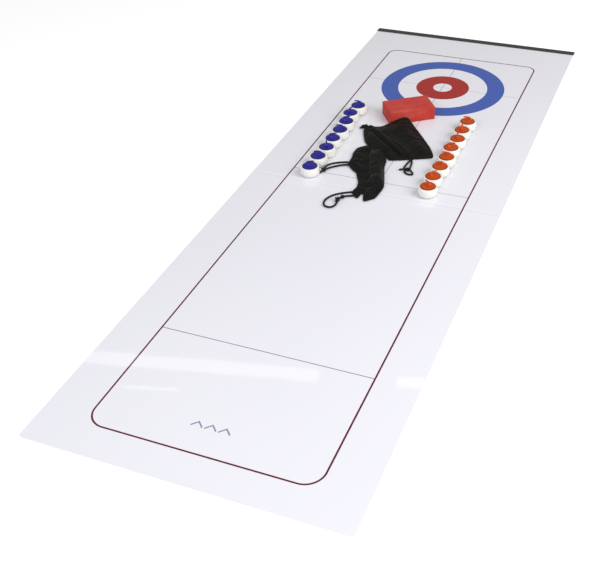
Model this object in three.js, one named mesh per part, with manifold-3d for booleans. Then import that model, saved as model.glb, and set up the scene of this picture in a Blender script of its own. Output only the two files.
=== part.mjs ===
// Table-top curling set: a long printed sheet that folds at mid-length, an end strip,
// sixteen ball-borne stones, a foam block and two drawstring bags.
// Millimetres, +Z up. Origin: centre of the fold line, on the underside of the sheet.
// +Y runs up the sheet towards the house end, +X to the right of a player at the near end.
import * as THREE from 'three';
import { mergeVertices } from 'three/addons/utils/BufferGeometryUtils.js';
import Module from 'manifold-3d';

const wasm = await Module();
wasm.setup();

// Sheet
const SHEET_WIDTH = 600;
const NEAR_LENGTH = 912;
const FAR_LENGTH = 903;
const SHEET_THICKNESS = 1.2;
const NEAR_CORNER_RADIUS = 8;
const FAR_CORNER_RADIUS = 1;
const CORNER_SEGMENTS = 5;
const FOLD_GAP = 0.3;
const TOP = SHEET_THICKNESS;

// End strip: an L-shaped profile over the house end of the sheet
const STRIP_LENGTH = 602;
const STRIP_OVERLAP = 10;
const STRIP_BACK = 9;
const STRIP_RISE = 2.6;
const STRIP_ROUND = 0.9;
const STRIP_CLEARANCE = 0.1;

// Stone
const BASE_RADIUS = 22.5;
const BASE_CLEARANCE = 1.4;
const BASE_FOOT_RADIUS = 18.6;
const BASE_WAIST_LOW = 6.5;
const BASE_WAIST_HIGH = 20;
const BASE_RIM_RADIUS = 20.6;
const BASE_RIM_HEIGHT = 23.4;
const RECESS_DEPTH = 1;
const CAP_RADIUS = 17.8;
const CAP_FIT = 0.3;
const CAP_SEAT_GAP = 0.1;
const CAP_EDGE_HEIGHT = 24.9;
const CAP_SHOULDER_RADIUS = 14.5;
const CAP_SHOULDER_HEIGHT = 26.1;
const CAP_CROWN_HEIGHT = 26.9;
const BALL_RADIUS = 7.9;
const BALL_GAP = 0.05;
const SOCKET_RADIUS = 9;
const STONE_SEGMENTS = 20;
const BALL_SEGMENTS = 12;
const BALL_RINGS = 7;
const WELD = 1e-4;

// Handle of a stone, side view in (forward, up) from the middle of the cap
const HANDLE_PATH = [[-6.2, 25.6], [-8.2, 28.6], [-7.2, 32.4], [-3, 34.8], [2.5, 35.6], [8.5, 35.4]];
const HANDLE_RADIUS = 1.8;
const HANDLE_SIDES = 6;
const HANDLE_STEPS = 7;

// Stones of each row: x, y of the stone and the way its handle points, in degrees from +X
const BLUE_STONES = [
  [-165, 358, 185], [-170, 312.5, 80], [-164, 266.5, 22], [-162.5, 219.5, 195],
  [-163.5, 173, 27], [-161.5, 126.5, 110], [-164.5, 80, 205], [-164.5, 29, 25],
];
const ORANGE_STONES = [
  [127.5, 360, 185], [126, 312.5, 95], [127.5, 266, 100], [124.5, 218.5, 15],
  [127, 172, 190], [125, 124.5, 205], [122.5, 76.5, 45], [124.5, 30, 140],
];

// Foam block
const FOAM_LENGTH = 120.5;
const FOAM_WIDTH = 71;
const FOAM_HEIGHT = 35;
const FOAM_ROUND = 2;
const FOAM_BEVEL_SEGMENTS = 2;
const FOAM_GAP = 0.05;
const FOAM_CENTRE = [-36, 384];
const FOAM_YAW = 35.5;

// Bags: outline points x, y and the height at which the cloth turns over its edge there
const BAG_LIFT = 0.4;
const BAG_SEAM_SHARE = 0.6;
// Rings of a bag from its underside over the edge to its top: size against the outline, and how far
// the ring has risen from the seam to the crown
const BAG_RINGS = [
  { scale: 0.97, underside: true },
  { scale: 1, rise: 0 },
  { scale: 0.9, rise: 0.45 },
  { scale: 0.55, rise: 0.9 },
];
const REAR_BAG_CENTRE = [0, 233];
const REAR_BAG_CROWN = 12;
const REAR_BAG_OUTLINE = [
  [-116, 261, 5], [-119.5, 272, 6], [-116, 288, 7], [-110, 297, 7], [-97, 297, 6], [-84, 299, 7],
  [-74, 308, 9], [-66, 316, 12], [-52, 327, 18], [-35, 338, 25], [-22, 344, 22], [-6, 332, 11],
  [30, 289.5, 5], [66, 241, 4], [86, 205, 4], [87, 190, 3], [47, 170, 3], [17, 155.5, 3],
  [-4, 147, 3], [-15, 154, 4], [-29, 165, 5], [-45.5, 172.5, 5], [-61, 178, 5], [-80, 198, 5],
  [-94.5, 215, 5], [-108.5, 241, 5],
];
const FRONT_BAG_CENTRE = [-24, 62];
const FRONT_BAG_CROWN = 16;
const FRONT_BAG_OUTLINE = [
  [-63, 176, 9], [-46.5, 171, 11], [-30, 163.5, 12], [-16, 152.5, 11], [-8, 139, 8], [-4, 109, 8],
  [12.3, 57, 8], [21.5, 26, 6], [21, 2, 5], [17.6, -26, 5], [-3.5, -46, 4], [-16, -16, 6],
  [-21, -40, 5], [-41, -22, 5], [-42, -10, 5], [-39.5, 3.5, 5], [-43.5, 26, 5], [-53, 45.5, 5],
  [-63, 65, 5], [-77, 76, 5], [-97, 99, 5], [-98, 127, 6], [-102, 149.5, 8], [-101.5, 172, 8],
  [-92, 187, 7], [-80.5, 196.5, 6],
];

// Drawcords: strands as x, y, z points, then knots as centre and half sizes
const CORD_RADIUS = 1.9;
const CORD_SIDES = 6;
const CORD_STEPS_PER_POINT = 2;
const CORDS = {
  bag_rear_cord_left: {
    strands: [[[-120.5, 283, 6], [-127, 280, 6], [-131, 275, 3.6]]],
    knots: [[-124, 281, 6.2, 5.5, 5, 4.6]],
  },
  bag_rear_cord_right: {
    strands: [
      [[40.3, 163, 3], [38.5, 148, 3], [37.5, 134, 3], [38, 122, 3.4], [46, 118, 4]],
      [[43.6, 164.2, 3], [47.5, 152, 3], [50, 138, 3], [51, 122, 3.6]],
      [[47, 116, 4.4], [43, 110, 3.2], [47, 104, 2.8], [55, 99.5, 2.6], [64, 100.5, 2.6],
        [63.5, 107.5, 3.2], [54, 115.5, 4.4]],
      [[46, 118, 4.4], [38, 116.5, 3.4], [28, 113.4, 2.6]],
    ],
    knots: [[50, 118, 4.8, 6.6, 5.6, 4.6]],
  },
  bag_front_cord_left: {
    strands: [
      [[-101, 105.3, 4], [-112, 101.5, 3], [-124, 95, 3], [-135, 85.5, 3], [-141, 74, 3],
        [-141, 56, 4]],
      [[-96, 92, 4], [-109, 88, 3], [-120, 79, 3], [-130, 69, 3], [-138, 55, 4]],
      [[-140, 50, 4.4], [-142, 45, 3.4], [-143, 41, 2.8]],
    ],
    knots: [[-140, 52, 5.2, 6.4, 7, 5]],
  },
  bag_front_cord_right: {
    strands: [
      [[-45, -19.5, 4], [-51.5, -22.5, 3], [-63, -30, 3], [-72.5, -38, 3], [-79, -46, 3],
        [-84.5, -57, 3], [-87, -69, 3], [-85, -82, 3], [-78.5, -91, 3], [-67, -93, 3],
        [-59.5, -86, 3], [-57.5, -74, 3.4], [-60, -62, 4.6]],
      [[-33, -35, 4], [-40, -36, 3], [-49, -38.5, 3.2], [-55.5, -46, 4], [-60.5, -56, 4.6]],
    ],
    knots: [[-61, -60, 5.2, 6.4, 7.4, 5], [-54, -45.5, 4.6, 4.8, 4.8, 4.2]],
  },
};

const COLOURS = {
  sheet: 0xe9e9ee,
  strip: 0x2c2927,
  base: 0xf2f0ea,
  blue: 0x2f2c96,
  orange: 0xd0491a,
  steel: 0xb8bcc0,
  foam: 0xc93b38,
  cloth: 0x171717,
  cord: 0x121212,
};

const set = new THREE.Group();
set.name = 'table_curling_set';

function addPart(name, geometry, colour, roughness, metalness = 0) {
  const material = new THREE.MeshStandardMaterial({ color: colour, roughness, metalness });
  material.name = `${name}_finish`;
  const mesh = new THREE.Mesh(geometry, material);
  mesh.name = name;
  set.add(mesh);
}

function toManifold(geometry) {
  const bare = geometry.clone();
  bare.deleteAttribute('normal');
  bare.deleteAttribute('uv');
  const welded = mergeVertices(bare, WELD);
  return new wasm.Manifold(new wasm.Mesh({
    numProp: 3,
    vertProperties: Float32Array.from(welded.attributes.position.array),
    triVerts: Uint32Array.from(welded.index.array),
  }));
}

function fromManifold(solid) {
  const mesh = solid.getMesh();
  const geometry = new THREE.BufferGeometry();
  geometry.setAttribute('position', new THREE.BufferAttribute(Float32Array.from(mesh.vertProperties), 3));
  geometry.setIndex(new THREE.BufferAttribute(Uint32Array.from(mesh.triVerts), 1));
  geometry.computeVertexNormals();
  return geometry;
}

function union(geometries) {
  const solids = geometries.map(toManifold);
  return fromManifold(solids.reduce((sum, solid) => sum.add(solid)));
}

// Half of the sheet: side +1 is the house half, -1 the near half with rounded outer corners
function sheetHalf(side) {
  const half = SHEET_WIDTH / 2;
  const inner = side * FOLD_GAP / 2;
  const outer = side < 0 ? -NEAR_LENGTH : FAR_LENGTH;
  const radius = side < 0 ? NEAR_CORNER_RADIUS : FAR_CORNER_RADIUS;
  const shape = new THREE.Shape();
  shape.moveTo(-half, inner);
  shape.lineTo(half, inner);
  shape.lineTo(half, outer - side * radius);
  shape.absarc(half - radius, outer - side * radius, radius, 0, side * Math.PI / 2, side < 0);
  shape.lineTo(-half + radius, outer);
  shape.absarc(-half + radius, outer - side * radius, radius, side * Math.PI / 2, side * Math.PI, side < 0);
  return new THREE.ExtrudeGeometry(shape, {
    depth: SHEET_THICKNESS,
    bevelEnabled: false,
    curveSegments: CORNER_SEGMENTS,
  });
}

// End strip: section in (y, z), run along X
function endStrip() {
  const front = FAR_LENGTH - STRIP_OVERLAP;
  const back = FAR_LENGTH + STRIP_BACK;
  const seat = TOP + STRIP_CLEARANCE;
  const crest = TOP + STRIP_RISE;
  const section = new THREE.Shape();
  section.moveTo(front, seat);
  section.lineTo(FAR_LENGTH + STRIP_CLEARANCE, seat);
  section.lineTo(FAR_LENGTH + STRIP_CLEARANCE, 0);
  section.lineTo(back, 0);
  section.lineTo(back, crest - STRIP_ROUND);
  section.lineTo(back - STRIP_ROUND, crest);
  section.lineTo(front + STRIP_ROUND, crest);
  section.lineTo(front, crest - STRIP_ROUND);
  section.closePath();
  const strip = new THREE.ExtrudeGeometry(section, { depth: STRIP_LENGTH, bevelEnabled: false });
  // the section's first axis becomes +Y, its second +Z, and the run becomes +X
  const turn = new THREE.Matrix4().makeBasis(
    new THREE.Vector3(0, 1, 0), new THREE.Vector3(0, 0, 1), new THREE.Vector3(1, 0, 0),
  );
  strip.applyMatrix4(turn);
  strip.translate(-STRIP_LENGTH / 2, 0, 0);
  return strip;
}

// Turned body: profile points are (radius, height above the sheet), listed so that faces point out
function turned(profile, segments) {
  const points = profile.map(([radius, height]) => new THREE.Vector2(radius, height));
  const body = new THREE.LatheGeometry(points, segments);
  body.rotateX(Math.PI / 2);
  return body;
}

function stoneBase() {
  const centre = BALL_GAP + BALL_RADIUS;
  const mouth = Math.sqrt(SOCKET_RADIUS ** 2 - (centre - BASE_CLEARANCE) ** 2);
  const diagonal = SOCKET_RADIUS * Math.SQRT1_2;
  const recess = BASE_RIM_HEIGHT - RECESS_DEPTH;
  return turned([
    [0, centre + SOCKET_RADIUS],
    [diagonal, centre + diagonal],
    [SOCKET_RADIUS, centre],
    [mouth, BASE_CLEARANCE],
    [BASE_FOOT_RADIUS, BASE_CLEARANCE],
    [BASE_RADIUS, BASE_WAIST_LOW],
    [BASE_RADIUS, BASE_WAIST_HIGH],
    [BASE_RIM_RADIUS, BASE_RIM_HEIGHT],
    [CAP_RADIUS + CAP_FIT, BASE_RIM_HEIGHT],
    [CAP_RADIUS + CAP_FIT, recess],
    [0, recess],
  ], STONE_SEGMENTS);
}

function stoneCap() {
  const seat = BASE_RIM_HEIGHT - RECESS_DEPTH + CAP_SEAT_GAP;
  const disc = turned([
    [0, seat],
    [CAP_RADIUS, seat],
    [CAP_RADIUS, CAP_EDGE_HEIGHT],
    [CAP_SHOULDER_RADIUS, CAP_SHOULDER_HEIGHT],
    [0, CAP_CROWN_HEIGHT],
  ], STONE_SEGMENTS);
  const path = new THREE.CatmullRomCurve3(HANDLE_PATH.map(([x, z]) => new THREE.Vector3(x, 0, z)));
  const handle = sweep(path, HANDLE_RADIUS, HANDLE_SIDES, HANDLE_STEPS);
  return union([disc, handle]);
}

function ball() {
  const body = new THREE.SphereGeometry(BALL_RADIUS, BALL_SEGMENTS, BALL_RINGS);
  body.rotateX(Math.PI / 2);
  body.translate(0, 0, BALL_GAP + BALL_RADIUS);
  return mergeVertices(stripped(body), WELD);
}

function stripped(geometry) {
  geometry.deleteAttribute('normal');
  geometry.deleteAttribute('uv');
  return geometry;
}

// Round bar along a curve
function sweep(curve, radius, sides, steps) {
  const section = new THREE.Shape();
  for (let i = 0; i < sides; i += 1) {
    const angle = (i + 0.5) * 2 * Math.PI / sides;
    const x = radius * Math.cos(angle);
    const y = radius * Math.sin(angle);
    if (i === 0) section.moveTo(x, y);
    else section.lineTo(x, y);
  }
  section.closePath();
  return new THREE.ExtrudeGeometry(section, { steps, extrudePath: curve, bevelEnabled: false });
}

// Soft cushion: rings shrink from the outline towards a middle point while they rise
function cushion(outline, middle, crown) {
  const positions = [];
  for (const ring of BAG_RINGS) {
    for (const [x, y, edge] of outline) {
      const turnover = ring.scale * edge + (1 - ring.scale) * crown;
      const seam = (1 - ring.rise) * edge * BAG_SEAM_SHARE;
      const height = ring.underside
        ? BAG_LIFT
        : seam + ring.rise * Math.max(turnover, crown * ring.rise);
      positions.push(
        middle[0] + ring.scale * (x - middle[0]),
        middle[1] + ring.scale * (y - middle[1]),
        TOP + height,
      );
    }
  }
  const count = outline.length;
  const under = positions.length / 3;
  positions.push(middle[0], middle[1], TOP + BAG_LIFT);
  positions.push(middle[0], middle[1], TOP + crown);
  const index = [];
  for (let i = 0; i < count; i += 1) {
    const j = (i + 1) % count;
    index.push(under, i, j);
    for (let ring = 0; ring < BAG_RINGS.length - 1; ring += 1) {
      const low = ring * count;
      const high = low + count;
      index.push(low + i, high + j, low + j, low + i, high + i, high + j);
    }
    const last = (BAG_RINGS.length - 1) * count;
    index.push(last + i, under + 1, last + j);
  }
  const body = new THREE.BufferGeometry();
  body.setAttribute('position', new THREE.Float32BufferAttribute(positions, 3));
  body.setIndex(index);
  body.computeVertexNormals();
  return body;
}

function cord({ strands, knots }) {
  const pieces = strands.map((points) => {
    const path = new THREE.CatmullRomCurve3(points.map(([x, y, z]) => new THREE.Vector3(x, y, TOP + z)));
    return sweep(path, CORD_RADIUS, CORD_SIDES, points.length * CORD_STEPS_PER_POINT);
  });
  for (const [x, y, z, a, b, c] of knots) {
    const knot = new THREE.IcosahedronGeometry(1, 1);
    knot.scale(a, b, c);
    knot.translate(x, y, TOP + z);
    pieces.push(knot);
  }
  return union(pieces);
}

function foamBlock() {
  const length = FOAM_LENGTH / 2 - FOAM_ROUND;
  const width = FOAM_WIDTH / 2 - FOAM_ROUND;
  const outline = new THREE.Shape();
  outline.moveTo(-length, -width);
  outline.lineTo(length, -width);
  outline.lineTo(length, width);
  outline.lineTo(-length, width);
  outline.closePath();
  const block = new THREE.ExtrudeGeometry(outline, {
    depth: FOAM_HEIGHT - 2 * FOAM_ROUND,
    bevelThickness: FOAM_ROUND,
    bevelSize: FOAM_ROUND,
    bevelSegments: FOAM_BEVEL_SEGMENTS,
  });
  block.rotateZ(FOAM_YAW * Math.PI / 180);
  block.translate(FOAM_CENTRE[0], FOAM_CENTRE[1], TOP + FOAM_ROUND + FOAM_GAP);
  return block;
}

addPart('mat_far_half', sheetHalf(1), COLOURS.sheet, 0.25);
addPart('mat_near_half', sheetHalf(-1), COLOURS.sheet, 0.25);
addPart('end_strip', endStrip(), COLOURS.strip, 0.55);

function addRow(prefix, stones, colour) {
  stones.forEach(([x, y, yaw], i) => {
    const label = `${prefix}_${i + 1}`;
    const place = (body) => {
      body.rotateZ(yaw * Math.PI / 180);
      body.translate(x, y, TOP);
      return body;
    };
    addPart(`${label}_base`, place(stoneBase()), COLOURS.base, 0.35);
    addPart(`${label}_cap`, place(stoneCap()), colour, 0.35);
    addPart(`${label}_ball`, place(ball()), COLOURS.steel, 0.15, 1);
  });
}

addRow('blue', BLUE_STONES, COLOURS.blue);
addRow('orange', ORANGE_STONES, COLOURS.orange);

addPart('foam_block', foamBlock(), COLOURS.foam, 0.9);
addPart('bag_rear', cushion(REAR_BAG_OUTLINE, REAR_BAG_CENTRE, REAR_BAG_CROWN), COLOURS.cloth, 0.9);
addPart('bag_front', cushion(FRONT_BAG_OUTLINE, FRONT_BAG_CENTRE, FRONT_BAG_CROWN), COLOURS.cloth, 0.9);
for (const [name, parts] of Object.entries(CORDS)) {
  addPart(name, cord(parts), COLOURS.cord, 0.8);
}

export default set;
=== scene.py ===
import math

import bpy
import numpy as np
from mathutils import Matrix, Vector, noise
from mathutils.bvhtree import BVHTree
from mathutils.geometry import delaunay_2d_cdt


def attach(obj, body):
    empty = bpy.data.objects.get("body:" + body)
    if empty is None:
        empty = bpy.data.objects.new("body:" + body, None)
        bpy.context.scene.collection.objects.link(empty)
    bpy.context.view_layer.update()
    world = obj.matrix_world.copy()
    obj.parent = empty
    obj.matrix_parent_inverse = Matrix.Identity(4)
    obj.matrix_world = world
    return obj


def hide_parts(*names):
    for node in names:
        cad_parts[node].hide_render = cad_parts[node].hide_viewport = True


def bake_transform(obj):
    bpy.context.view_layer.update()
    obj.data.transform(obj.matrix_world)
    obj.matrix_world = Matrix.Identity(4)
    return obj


MM = 0.001

# Sheet, from the middle of the fold line
SHEET_TOP = 1.2
SHEET_HALF_WIDTH = 300.0
NEAR_END = -912.0
SHEET_CORNER_RADIUS = 8.0
FAR_END = 903.0
STRIP_FRONT = 893.0
STRIP_BACK = 912.0
STRIP_TOP = 3.8
STRIP_HALF_WIDTH = 301.0
STRIP_GAP = 0.1

# Printing on the sheet
BORDER_LEFT, BORDER_RIGHT = -214.0, 215.3
BORDER_NEAR, BORDER_FAR = -845.7, 774.5
BORDER_NEAR_RADIUS, BORDER_FAR_RADIUS = 36.0, 26.0
BORDER_WIDTH = 3.5
START_LINE_Y = -581.4
HOG_LINE_Y = 48.0
HOUSE = (1.0, 573.6)
HOUSE_RADII = (25.4, 71.9, 121.4, 167.5)
THIN_LINE = 1.4
START_LINE = 1.8
MARK_CENTRE = (-2.7, -786.0)
MARK_STEP, MARK_REACH, MARK_TIP, MARK_HALF_WIDTH = 26.0, 11.0, 7.0, 2.0

# Stones: heights are above the sheet, and each stone is (x, y, turn of the handle)
STONE_RADIUS = 22.5
BASE_BOTTOM, BASE_TOP = 1.4, 23.4
RECESS_RADIUS, RECESS_FLOOR = 18.1, 22.4
SOCKET_RADIUS, BALL_RADIUS, BALL_CENTRE = 8.6, 7.9, 7.95
CAP_RADIUS, CAP_BOTTOM, CAP_TOP = 17.8, 22.5, 26.9
CAP_DISC_BELOW = 28.0
BLUE_STONES = [
    (-165, 358, 185), (-170, 312.5, 80), (-164, 266.5, 22), (-162.5, 219.5, 195),
    (-163.5, 173, 27), (-161.5, 126.5, 110), (-164.5, 80, 205), (-164.5, 29, 25),
]
ORANGE_STONES = [
    (127.5, 360, 185), (126, 312.5, 95), (127.5, 266, 100), (124.5, 218.5, 15),
    (127, 172, 190), (125, 124.5, 205), (122.5, 76.5, 45), (124.5, 30, 140),
]

FOAM_SIZE = (120.8, 71.4, 35.0)
FOAM_CENTRE = (-36.0, 384.0)
FOAM_YAW = 35.5
FOAM_BOTTOM = SHEET_TOP + 0.05

CAMERA_PLACE = (621.56, -1709.47, 1130.19)
CAMERA_TURN = (52.519, 1.528, 21.212)
CAMERA_LENS = 55.784
CAMERA_SHIFT = (-0.0689, -0.0001)
WORLD_NEAR, WORLD_FAR = (0.75, 0.757, 0.82), (0.34, 0.325, 0.27)

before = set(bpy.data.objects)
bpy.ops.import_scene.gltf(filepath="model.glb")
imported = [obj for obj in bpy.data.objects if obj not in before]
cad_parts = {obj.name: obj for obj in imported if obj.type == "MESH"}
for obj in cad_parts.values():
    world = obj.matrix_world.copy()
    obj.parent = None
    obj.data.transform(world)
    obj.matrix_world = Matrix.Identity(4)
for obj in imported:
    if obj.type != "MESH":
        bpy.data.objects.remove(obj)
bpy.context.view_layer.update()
scene = bpy.context.scene


# ---------------------------------------------------------------- materials

class Nodes:
    """Small helper that writes shader maths as calls."""

    def __init__(self, name):
        self.mat = bpy.data.materials.new(name)
        self.mat.use_nodes = True
        self.tree = self.mat.node_tree
        self.tree.nodes.clear()
        self.out = self.tree.nodes.new("ShaderNodeOutputMaterial")
        self.bsdf = self.tree.nodes.new("ShaderNodeBsdfPrincipled")
        self.tree.links.new(self.bsdf.outputs[0], self.out.inputs[0])

    def put(self, socket, value):
        if isinstance(value, bpy.types.NodeSocket):
            self.tree.links.new(value, socket)
        elif isinstance(value, (tuple, list)):
            size = len(socket.default_value)
            socket.default_value = (tuple(value) + (1.0,))[:size]
        else:
            socket.default_value = value

    def set(self, **values):
        for key, value in values.items():
            self.put(self.bsdf.inputs[key.replace("_", " ")], value)

    def math(self, op, a, b=0.0, c=0.0, clamp=False):
        node = self.tree.nodes.new("ShaderNodeMath")
        node.operation = op
        node.use_clamp = clamp
        for i, v in enumerate((a, b, c)):
            self.put(node.inputs[i], v)
        return node.outputs[0]

    def add(self, a, b):
        return self.math("ADD", a, b)

    def sub(self, a, b):
        return self.math("SUBTRACT", a, b)

    def mul(self, a, b):
        return self.math("MULTIPLY", a, b)

    def top(self, a, b):
        return self.math("MAXIMUM", a, b)

    def low(self, a, b):
        return self.math("MINIMUM", a, b)

    def size(self, a):
        return self.math("ABSOLUTE", a)

    def length(self, a, b):
        return self.math("SQRT", self.add(self.mul(a, a), self.mul(b, b)))

    def inside(self, distance, soft=0.35):
        """1 where distance is below 0, with an edge as wide as soft."""
        return self.math("MULTIPLY_ADD", distance, -1.0 / soft, 0.5, clamp=True)

    def where(self):
        return self.tree.nodes.new("ShaderNodeTexCoord").outputs["Object"]

    def coords(self):
        """Object coordinates in millimetres."""
        split = self.tree.nodes.new("ShaderNodeSeparateXYZ")
        self.tree.links.new(self.where(), split.inputs[0])
        return [self.mul(split.outputs[i], 1 / MM) for i in range(3)]

    def noise(self, scale, detail=2.0, rough=0.5, stretch=None, turn=0.0):
        node = self.tree.nodes.new("ShaderNodeTexNoise")
        node.inputs["Scale"].default_value = scale
        node.inputs["Detail"].default_value = detail
        node.inputs["Roughness"].default_value = rough
        vector = self.where()
        if stretch:
            mapping = self.tree.nodes.new("ShaderNodeMapping")
            mapping.vector_type = "TEXTURE"
            mapping.inputs["Rotation"].default_value = (0.0, 0.0, math.radians(-turn))
            mapping.inputs["Scale"].default_value = [1 / v for v in stretch]
            self.tree.links.new(vector, mapping.inputs["Vector"])
            vector = mapping.outputs[0]
        self.tree.links.new(vector, node.inputs["Vector"])
        return node.outputs[0]

    def cells(self, scale):
        node = self.tree.nodes.new("ShaderNodeTexVoronoi")
        node.inputs["Scale"].default_value = scale
        self.tree.links.new(self.where(), node.inputs["Vector"])
        return node.outputs["Distance"]

    def mix(self, factor, a, b):
        node = self.tree.nodes.new("ShaderNodeMix")
        node.data_type = "RGBA"
        self.put(node.inputs[0], factor)
        self.put(node.inputs[6], a)
        self.put(node.inputs[7], b)
        return node.outputs[2]

    def ramp(self, value, low, high):
        node = self.tree.nodes.new("ShaderNodeMapRange")
        self.put(node.inputs[0], value)
        node.inputs[1].default_value = low
        node.inputs[2].default_value = high
        return node.outputs[0]

    def bump(self, height, strength, distance):
        node = self.tree.nodes.new("ShaderNodeBump")
        node.inputs["Strength"].default_value = strength
        node.inputs["Distance"].default_value = distance
        self.tree.links.new(height, node.inputs["Height"])
        self.tree.links.new(node.outputs[0], self.bsdf.inputs["Normal"])


def srgb(r, g, b):
    """Linear colour of an sRGB one given in 0..255."""
    return tuple(
        v / 12.92 if v <= 0.04045 else ((v + 0.055) / 1.055) ** 2.4
        for v in (r / 255, g / 255, b / 255)
    )


SHEET_WHITE = srgb(236, 236, 242)


def sheet_body_material():
    n = Nodes("sheet_edge")
    n.set(Base_Color=SHEET_WHITE, Roughness=0.3)
    return n.mat


def sheet_print_material():
    n = Nodes("sheet_print")
    x, y, _ = n.coords()
    tint = n.noise(1.6, 1.0)
    colour = n.mix(n.ramp(tint, 0.35, 0.65), SHEET_WHITE, srgb(234, 234, 241))

    # thin lines: each is a distance to a line kept between two limits
    middle = (BORDER_LEFT + BORDER_RIGHT) / 2
    half = (BORDER_RIGHT - BORDER_LEFT) / 2
    across = n.sub(n.size(n.sub(x, middle)), half)

    def line_across(at, width):
        return n.top(n.sub(n.size(n.sub(y, at)), width / 2), across)

    along = n.sub(n.size(n.sub(x, HOUSE[0])), THIN_LINE / 2)
    reach = n.sub(n.size(n.sub(y, (HOG_LINE_Y + BORDER_FAR) / 2)), (BORDER_FAR - HOG_LINE_Y) / 2)
    grey = srgb(104, 100, 110)
    for shape in (
        line_across(HOG_LINE_Y, THIN_LINE),
        line_across(HOUSE[1], THIN_LINE * 0.7),
        n.top(along, reach),
    ):
        colour = n.mix(n.mul(n.inside(shape), 0.85), colour, grey)
    colour = n.mix(
        n.mul(n.inside(line_across(START_LINE_Y, START_LINE)), 0.95), colour, srgb(112, 96, 110))

    # coloured rings, over the thin lines
    dx, dy = n.sub(x, HOUSE[0]), n.sub(y, HOUSE[1])
    radius = n.length(dx, dy)
    button, red, white, blue = HOUSE_RADII
    for inner, outer, ink in ((button, red, srgb(166, 12, 12)), (white, blue, srgb(56, 88, 176))):
        ring = n.sub(n.size(n.sub(radius, (inner + outer) / 2)), (outer - inner) / 2)
        colour = n.mix(n.inside(ring), colour, ink)

    # rounded border
    centre_y = (BORDER_NEAR + BORDER_FAR) / 2
    half_y = (BORDER_FAR - BORDER_NEAR) / 2
    far_side = n.math("GREATER_THAN", y, centre_y)
    corner = n.add(BORDER_NEAR_RADIUS, n.mul(far_side, BORDER_FAR_RADIUS - BORDER_NEAR_RADIUS))
    qx = n.add(across, corner)
    qy = n.add(n.sub(n.size(n.sub(y, centre_y)), half_y), corner)
    outer = n.length(n.top(qx, 0.0), n.top(qy, 0.0))
    box = n.sub(n.add(outer, n.low(n.top(qx, qy), 0.0)), corner)
    border = n.inside(n.sub(n.size(box), BORDER_WIDTH / 2))
    colour = n.mix(border, colour, srgb(92, 8, 34))

    # direction mark behind the start: three chevrons pointing up the sheet
    mark = None
    for step in (-1, 0, 1):
        mx = n.size(n.sub(x, MARK_CENTRE[0] + step * MARK_STEP))
        my = n.add(n.sub(y, MARK_CENTRE[1] + MARK_TIP), mx)
        arm = n.sub(n.size(my), MARK_HALF_WIDTH)
        chevron = n.top(arm, n.sub(mx, MARK_REACH))
        mark = chevron if mark is None else n.low(mark, chevron)
    colour = n.mix(n.mul(n.inside(mark), 0.9), colour, srgb(112, 120, 160))

    wear = n.noise(3.0, 3.0)
    n.set(
        Base_Color=colour,
        Roughness=n.add(0.02, n.mul(wear, 0.03)),
        IOR=1.5,
        Coat_Weight=0.1,
        Coat_Roughness=0.04,
    )
    n.bump(n.noise(7.0, 2.0, 0.45), 0.05, 0.004)
    return n.mat


def plastic(name, colour, rough, grain=0.02, edge=None):
    n = Nodes(name)
    speck = n.noise(60.0, 3.0)
    shade = n.mix(n.mul(n.ramp(speck, 0.3, 0.7), 0.25), colour, tuple(v * 0.85 for v in colour))
    if edge:
        # painted shade: below the handle the cap's colour darkens towards its rim, over the radii given in
        # edge, standing in for the shaded side wall and the gap to the base
        x, y, z = n.coords()
        rim = n.mul(n.ramp(n.length(x, y), *edge), n.math("LESS_THAN", z, CAP_DISC_BELOW))
        shade = n.mix(n.mul(rim, 0.75), shade, tuple(v * 0.25 for v in colour))
    n.set(
        Base_Color=shade,
        Roughness=n.add(rough - 0.04, n.mul(n.noise(90.0, 2.0), 0.08)),
        Specular_IOR_Level=0.3,
    )
    n.bump(n.noise(700.0, 2.0), grain, 0.0004)
    return n.mat


def base_material():
    n = Nodes("stone_base_plastic")
    n.set(
        Base_Color=srgb(237, 236, 228),
        Roughness=n.add(0.28, n.mul(n.noise(90.0, 2.0), 0.06)),
        Subsurface_Weight=0.12,
        Subsurface_Radius=(0.004, 0.0035, 0.003),
        Subsurface_Scale=0.6,
    )
    n.bump(n.noise(500.0, 2.0), 0.02, 0.0004)
    return n.mat


def steel_material():
    n = Nodes("ball_steel")
    n.set(Base_Color=(0.62, 0.63, 0.65), Metallic=1.0, Roughness=n.add(0.1, n.mul(n.noise(120.0), 0.08)))
    return n.mat


def foam_material():
    n = Nodes("red_foam")
    pores = n.cells(420.0)
    coarse = n.noise(45.0, 4.0, 0.6)
    streak = n.noise(14.0, 3.0, 0.55, stretch=(0.5, 4.5, 1.0), turn=-FOAM_YAW)
    shade = n.mix(n.ramp(coarse, 0.3, 0.7), srgb(180, 46, 36), srgb(192, 66, 54))
    shade = n.mix(n.mul(n.ramp(streak, 0.5, 0.7), 0.5), shade, srgb(214, 96, 86))
    shade = n.mix(n.mul(n.ramp(pores, 0.25, 0.0), 0.35), shade, srgb(168, 34, 32))
    n.set(Base_Color=shade, Roughness=0.92, Specular_IOR_Level=0.2, Sheen_Weight=0.06, Sheen_Roughness=0.6)
    n.bump(n.add(n.mul(pores, 0.8), n.mul(coarse, 0.8)), 0.55, 0.0012)
    return n.mat


def cloth_material():
    n = Nodes("bag_cloth")
    x, y, _ = n.coords()
    weave = n.mul(
        n.math("SINE", n.mul(n.add(x, y), 5.2)),
        n.math("SINE", n.mul(n.sub(x, y), 5.2)),
    )
    soft = n.noise(30.0, 3.0, 0.6)
    shade = n.mix(n.ramp(soft, 0.3, 0.7), srgb(13, 13, 12), srgb(21, 20, 19))
    n.set(Base_Color=shade, Roughness=0.55, Sheen_Weight=0.09, Sheen_Roughness=0.3,
          Sheen_Tint=(0.8, 0.8, 0.78, 1.0), Specular_IOR_Level=0.12)
    n.bump(n.add(n.mul(weave, 0.25), n.noise(260.0, 3.0, 0.6)), 0.25, 0.0006)
    return n.mat


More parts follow.
